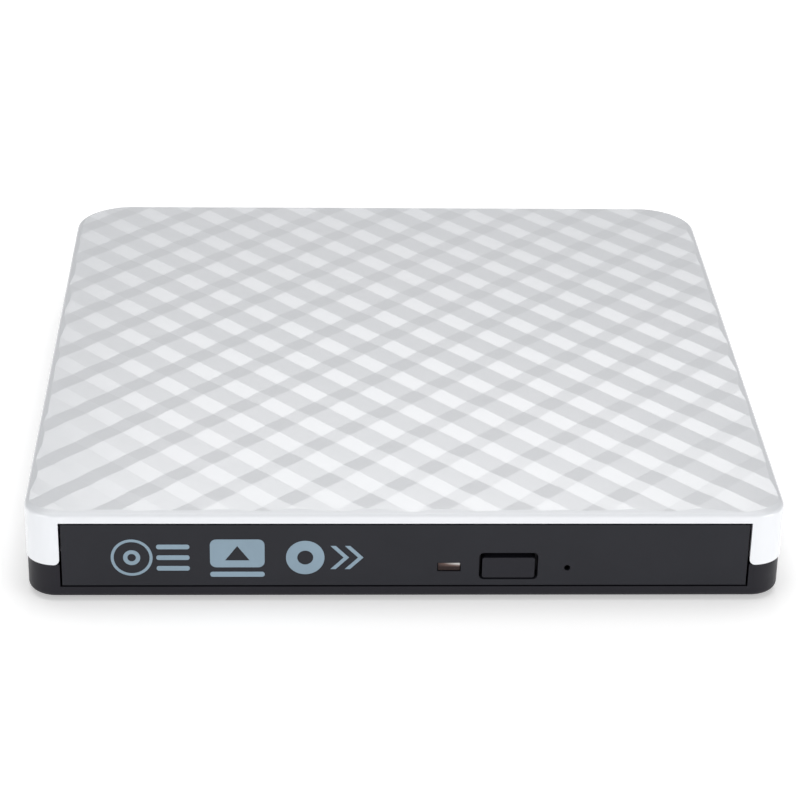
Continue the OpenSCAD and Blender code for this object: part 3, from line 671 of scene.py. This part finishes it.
def ribbon(name, path):
    """Flat cable along a path of (y, z) points, with its conductors standing a little proud."""
    strands, film = 11, 0.6
    count = strands * 4 + 1
    step = CABLE_W / (count + 1)
    profile = [(step * (1 + k), 1.0 if k % 4 in (1, 2) else film) for k in range(count)]
    profile = [(0, film)] + profile + [(CABLE_W, film)]
    section = profile + [(x, -h) for x, h in reversed(profile)]
    bm = bmesh.new()
    loops = []
    for i, (y, z) in enumerate(path):
        a, b = path[max(i - 1, 0)], path[min(i + 1, len(path) - 1)]
        along = Vector((b[0] - a[0], b[1] - a[1])).normalized()
        across, up = -along.y * CABLE_T / 2, along.x * CABLE_T / 2
        loops.append([bm.verts.new((CABLE_X + x, y + across * h, z + up * h)) for x, h in section])
    for low, high in zip(loops, loops[1:]):
        for i in range(len(section)):
            j = (i + 1) % len(section)
            bm.faces.new((low[i], low[j], high[j], high[i]))
    bm.faces.new(loops[0])
    bm.faces.new(loops[-1])
    obj = mesh_object(name, bm)
    smooth_by_angle(obj.data, 50)
    return obj


def stretch(obj, slot, a, b, start, end, node):
    """Finishes a mesh made in millimetres in place of a node, and bakes its placement into the mesh; it is
    put on no body.
    """
    to_metres(obj, materials[slot])
    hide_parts(node)
    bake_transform(obj)


def flat_cable_runs():
    """Two straight runs and the half turn between them."""
    low, high = CABLE_LOW + CABLE_T / 2, CABLE_HIGH + CABLE_T / 2
    lower = ribbon("cable_lower", [(CABLE_BEND_Y, low), (CABLE_START_Y, low)])
    stretch(lower, "flat_cable", "enclosure", "slide_rails",
            (CABLE_X, CABLE_START_Y, low), (CABLE_X, CABLE_BEND_Y, low), "ffc_lower")
    upper = ribbon("cable_upper", [(CABLE_BEND_Y, high), (CABLE_END_Y, high)])
    stretch(upper, "flat_cable", "slide_rails", "tray",
            (CABLE_X, CABLE_BEND_Y, high), (CABLE_X, CABLE_END_Y, high), "ffc_upper")
    middle, r = (low + high) / 2, (high - low) / 2
    turn = [(CABLE_BEND_Y - r * math.cos(a), middle + r * math.sin(a))
            for a in [math.radians(-90 + 180 * k / 28) for k in range(29)]]
    place(ribbon("cable_bend", turn), "flat_cable", "slide_rails", "ffc_bend")


flat_cable_runs()


# ---------- lead screw and ejector spring ----------

# the screw's own lengths and radii in millimetres, and its place beside the pickup
SCREW_START, SCREW_ACROSS, SCREW_HEIGHT = 6.4, 21.5, 4.6
SCREW_LENGTH, SCREW_PITCH, SCREW_RUN_OUT = 50.0, 3.0, 1.5
SCREW_CORE, SCREW_CREST, SCREW_SHAFT = 1.05, 1.5, 0.7
SHAFT_FRONT, SHAFT_END, SHAFT_CHAMFER = -1.8, 51.4, 0.15

SPRING_X, SPRING_Z, SPRING_FRONT, SPRING_BACK = -53.5, 7.5, 37.2, 49.0
SPRING_R, SPRING_WIRE_R, SPRING_TURNS, SPRING_CLOSED = 1.45, 0.2, 8, 0.42


def on_sled(x, v, height):
    """Point given along and across the pickup's travel, and by its height above the drive's underside."""
    c, s = math.cos(SLED_ANGLE), math.sin(SLED_ANGLE)
    return Vector((c * x - s * v, SPINDLE_Y + s * x + c * v, DRIVE_Z + height))


def thread_radius(along, turn):
    """The thread's radius at a place along the screw and a share of a turn around it."""
    phase = (along / SCREW_PITCH + turn) % 1.0
    rise = min(1.0, max(0.0, 1.35 - abs(phase - 0.5) * 5.2))
    ends = min(1.0, along / SCREW_RUN_OUT, (SCREW_LENGTH - along) / SCREW_RUN_OUT)
    return SCREW_CORE + (SCREW_CREST - SCREW_CORE) * rise * rise * (3 - 2 * rise) * ends


def lead_screw():
    """Rod with a left-handed helical thread, so that a positive turn carries the pickup outward."""
    sides, count = 28, 320
    tip = SCREW_SHAFT - SHAFT_CHAMFER
    levels = [(SHAFT_FRONT, tip), (SHAFT_FRONT + 0.2, SCREW_SHAFT), (0, SCREW_SHAFT), (0, SCREW_CORE)]
    levels += [(SCREW_LENGTH * k / count, None) for k in range(1, count)]
    levels += [(SCREW_LENGTH, SCREW_CORE), (SCREW_LENGTH, SCREW_SHAFT)]
    levels += [(SHAFT_END - 0.2, SCREW_SHAFT), (SHAFT_END, tip)]
    rings = []
    for along, radius in levels:
        ring = []
        for k in range(sides):
            r = radius or thread_radius(along, k / sides)
            a = 2 * math.pi * k / sides
            ring.append(on_sled(SCREW_START + along, SCREW_ACROSS + r * math.cos(a),
                                SCREW_HEIGHT + r * math.sin(a)))
        rings.append(ring)
    obj = solid("screw_thread", add_rings, rings)
    smooth_by_angle(obj.data, 40)
    place(obj, "steel", "lead_screw", "lead_screw")


def spring_rise(turn):
    """How far along the spring its wire is after that many turns, the first and last turn being closed."""
    length = SPRING_BACK - SPRING_FRONT
    if turn < 1:
        return SPRING_CLOSED * turn
    if turn > SPRING_TURNS - 1:
        return length - SPRING_CLOSED * (SPRING_TURNS - turn)
    return SPRING_CLOSED + (turn - 1) / (SPRING_TURNS - 2) * (length - 2 * SPRING_CLOSED)


def ejector_spring():
    """Coil between the guide's front ear and the rod's rear collar."""
    sides, steps = 10, 28 * SPRING_TURNS
    rings = []
    for k in range(steps + 1):
        turn = k / steps * SPRING_TURNS
        a = 2 * math.pi * turn
        out = Vector((math.cos(a), 0, math.sin(a)))
        middle = Vector((SPRING_X, SPRING_FRONT + spring_rise(turn), SPRING_Z)) + out * SPRING_R
        rings.append([middle + out * SPRING_WIRE_R * math.cos(b) + Vector((0, SPRING_WIRE_R * math.sin(b), 0))
                      for b in [2 * math.pi * n / sides for n in range(sides)]])
    obj = solid("spring_coil", add_rings, rings)
    smooth_by_angle(obj.data, 40)
    stretch(obj, "steel", "enclosure", "ejector",
            (SPRING_X, SPRING_FRONT, SPRING_Z), (SPRING_X, SPRING_BACK, SPRING_Z), "ejector_spring")


lead_screw()
ejector_spring()


# ---------- inner pieces, with their edges rounded ----------

# width of the rounding in millimetres, and the nodes that have it
FINISH = {
    0.2: "tray_frame channel_left channel_right traverse_frame",
    0.15: "ejector_guide pickup_body rotor motor_coils stepper_motor guide_rods latch_lever traverse_dampers",
    0.12: "drive_base drive_lid main_board_chips bridge_chips sata_receptacle sata_plug ejector_rod "
          "turntable lens_holder actuator_yoke status_led plunger motor_base",
    0.08: "rail_left rail_right main_board bridge_board tray_board ffc_connector striker_pin eject_switch "
          "latch_pivot_pin hub_claws laser_unit",
    0.05: "mechanism_cover cover_screws lid_screws turntable_pad ffc_lead",
    0: "objective_lens",
}
for width, names in FINISH.items():
    for name in names.split():
        finish_node(name, width)


def deck_plate():
    """The plate over the mechanism, grown to leave a hairline gap in the tray's window."""
    obj = cad_copy("deck_plate")
    turn = Matrix.Rotation(SLED_ANGLE, 4, "Z")
    middle = Matrix.Translation(on_sled(DECK_PLATE_X, 0, DECK_PLATE_Z))
    grow = Matrix.Diagonal((1.0058, 1.0134, 1, 1))
    obj.data.transform(middle @ turn @ grow @ turn.inverted() @ middle.inverted())
    soften(obj, 0.08)
    place(obj, "dark_metal", "tray", "deck_plate")


deck_plate()


def solenoid():
    """Copper coil held between two steel plates."""
    obj = finish_node("solenoid", 0.12)
    obj.data.materials.append(materials["steel"])
    for face in obj.data.polygons:
        if not COIL_FRONT < face.center.y / MM < COIL_BACK:
            face.material_index = 1


solenoid()


# ---------- stage, light and camera, in metres and degrees ----------

FLOOR_HALF = 6.0
SOFTBOX_DISTANCE = 1.2
CAMERA_AZIMUTH, CAMERA_ELEVATION, CAMERA_ROLL = -2.38, 26.71, 1.16
CAMERA_TARGET, CAMERA_DISTANCE = Vector((1.025, -7.324, 8.837)) * MM, 554.04 * MM


def direction(azimuth, elevation):
    """Unit vector from the object; azimuth 0 is in front of it and 90 on its right."""
    a, e = math.radians(azimuth), math.radians(elevation)
    return Vector((math.sin(a) * math.cos(e), -math.cos(a) * math.cos(e), math.sin(e)))


def floor():
    """White floor that glows a little, so that it stays white far away."""
    bm = bmesh.new()
    corners = ((-1, -1), (1, -1), (1, 1), (-1, 1))
    bm.faces.new([bm.verts.new((x * FLOOR_HALF, y * FLOOR_HALF, 0)) for x, y in corners])
    obj = mesh_object("floor", bm)
    s = Shader("floor", Roughness=0.9, Emission_Strength=0.36)
    s.bsdf.inputs["Emission Color"].default_value = (1, 1, 1, 1)
    s.tint(s.noise(400.0), (0.955, 0.955, 0.955), (0.97, 0.97, 0.97))
    obj.data.materials.append(s.material)


def softbox(name, azimuth, elevation, width, height, power):
    """Area light that looks at the object, and that the camera doesn't see."""
    data = bpy.data.lights.new(name, "AREA")
    data.shape = "RECTANGLE"
    data.size, data.size_y, data.energy = width, height, power
    obj = bpy.data.objects.new(name, data)
    back = direction(azimuth, elevation)
    obj.location = back * SOFTBOX_DISTANCE
    obj.rotation_mode = "QUATERNION"
    obj.rotation_quaternion = (-back).to_track_quat("-Z", "Y")
    obj.visible_camera = False
    bpy.context.scene.collection.objects.link(obj)


def world(strength):
    """Even white light from all round."""
    w = bpy.data.worlds.new("studio")
    w.use_nodes = True
    w.node_tree.nodes["Background"].inputs["Color"].default_value = (1, 1, 1, 1)
    w.node_tree.nodes["Background"].inputs["Strength"].default_value = strength
    bpy.context.scene.world = w


def camera():
    """Camera at the front and above, a little to the left, turned slightly about its own axis."""
    azimuth, roll = math.radians(CAMERA_AZIMUTH), math.radians(CAMERA_ROLL)
    back = direction(CAMERA_AZIMUTH, CAMERA_ELEVATION)
    side = Vector((math.cos(azimuth), math.sin(azimuth), 0))
    over = back.cross(side)
    right = side * math.cos(roll) + over * math.sin(roll)
    up = over * math.cos(roll) - side * math.sin(roll)
    data = bpy.data.cameras.new("camera")
    data.lens, data.sensor_width = 118.63, 36.0
    data.clip_start, data.clip_end = 0.01, 50.0
    obj = bpy.data.objects.new("camera", data)
    turn = Matrix((right, up, back)).transposed().to_4x4()
    obj.matrix_world = Matrix.Translation(CAMERA_TARGET + back * CAMERA_DISTANCE) @ turn
    bpy.context.scene.collection.objects.link(obj)
    bpy.context.scene.camera = obj


floor()
world(0.3)
softbox("back_softbox", 176.5, 41, 0.5, 0.45, 2.2)
softbox("top_softbox", 180, 87, 1.2, 0.85, 5.4)
softbox("front_left_softbox", -45, 9, 0.9, 0.42, 4.3)
softbox("front_right_softbox", 50, 9, 0.9, 0.42, 5.9)
camera()
bpy.context.scene.view_settings.view_transform = "Standard"

bpy.context.view_layer.update()
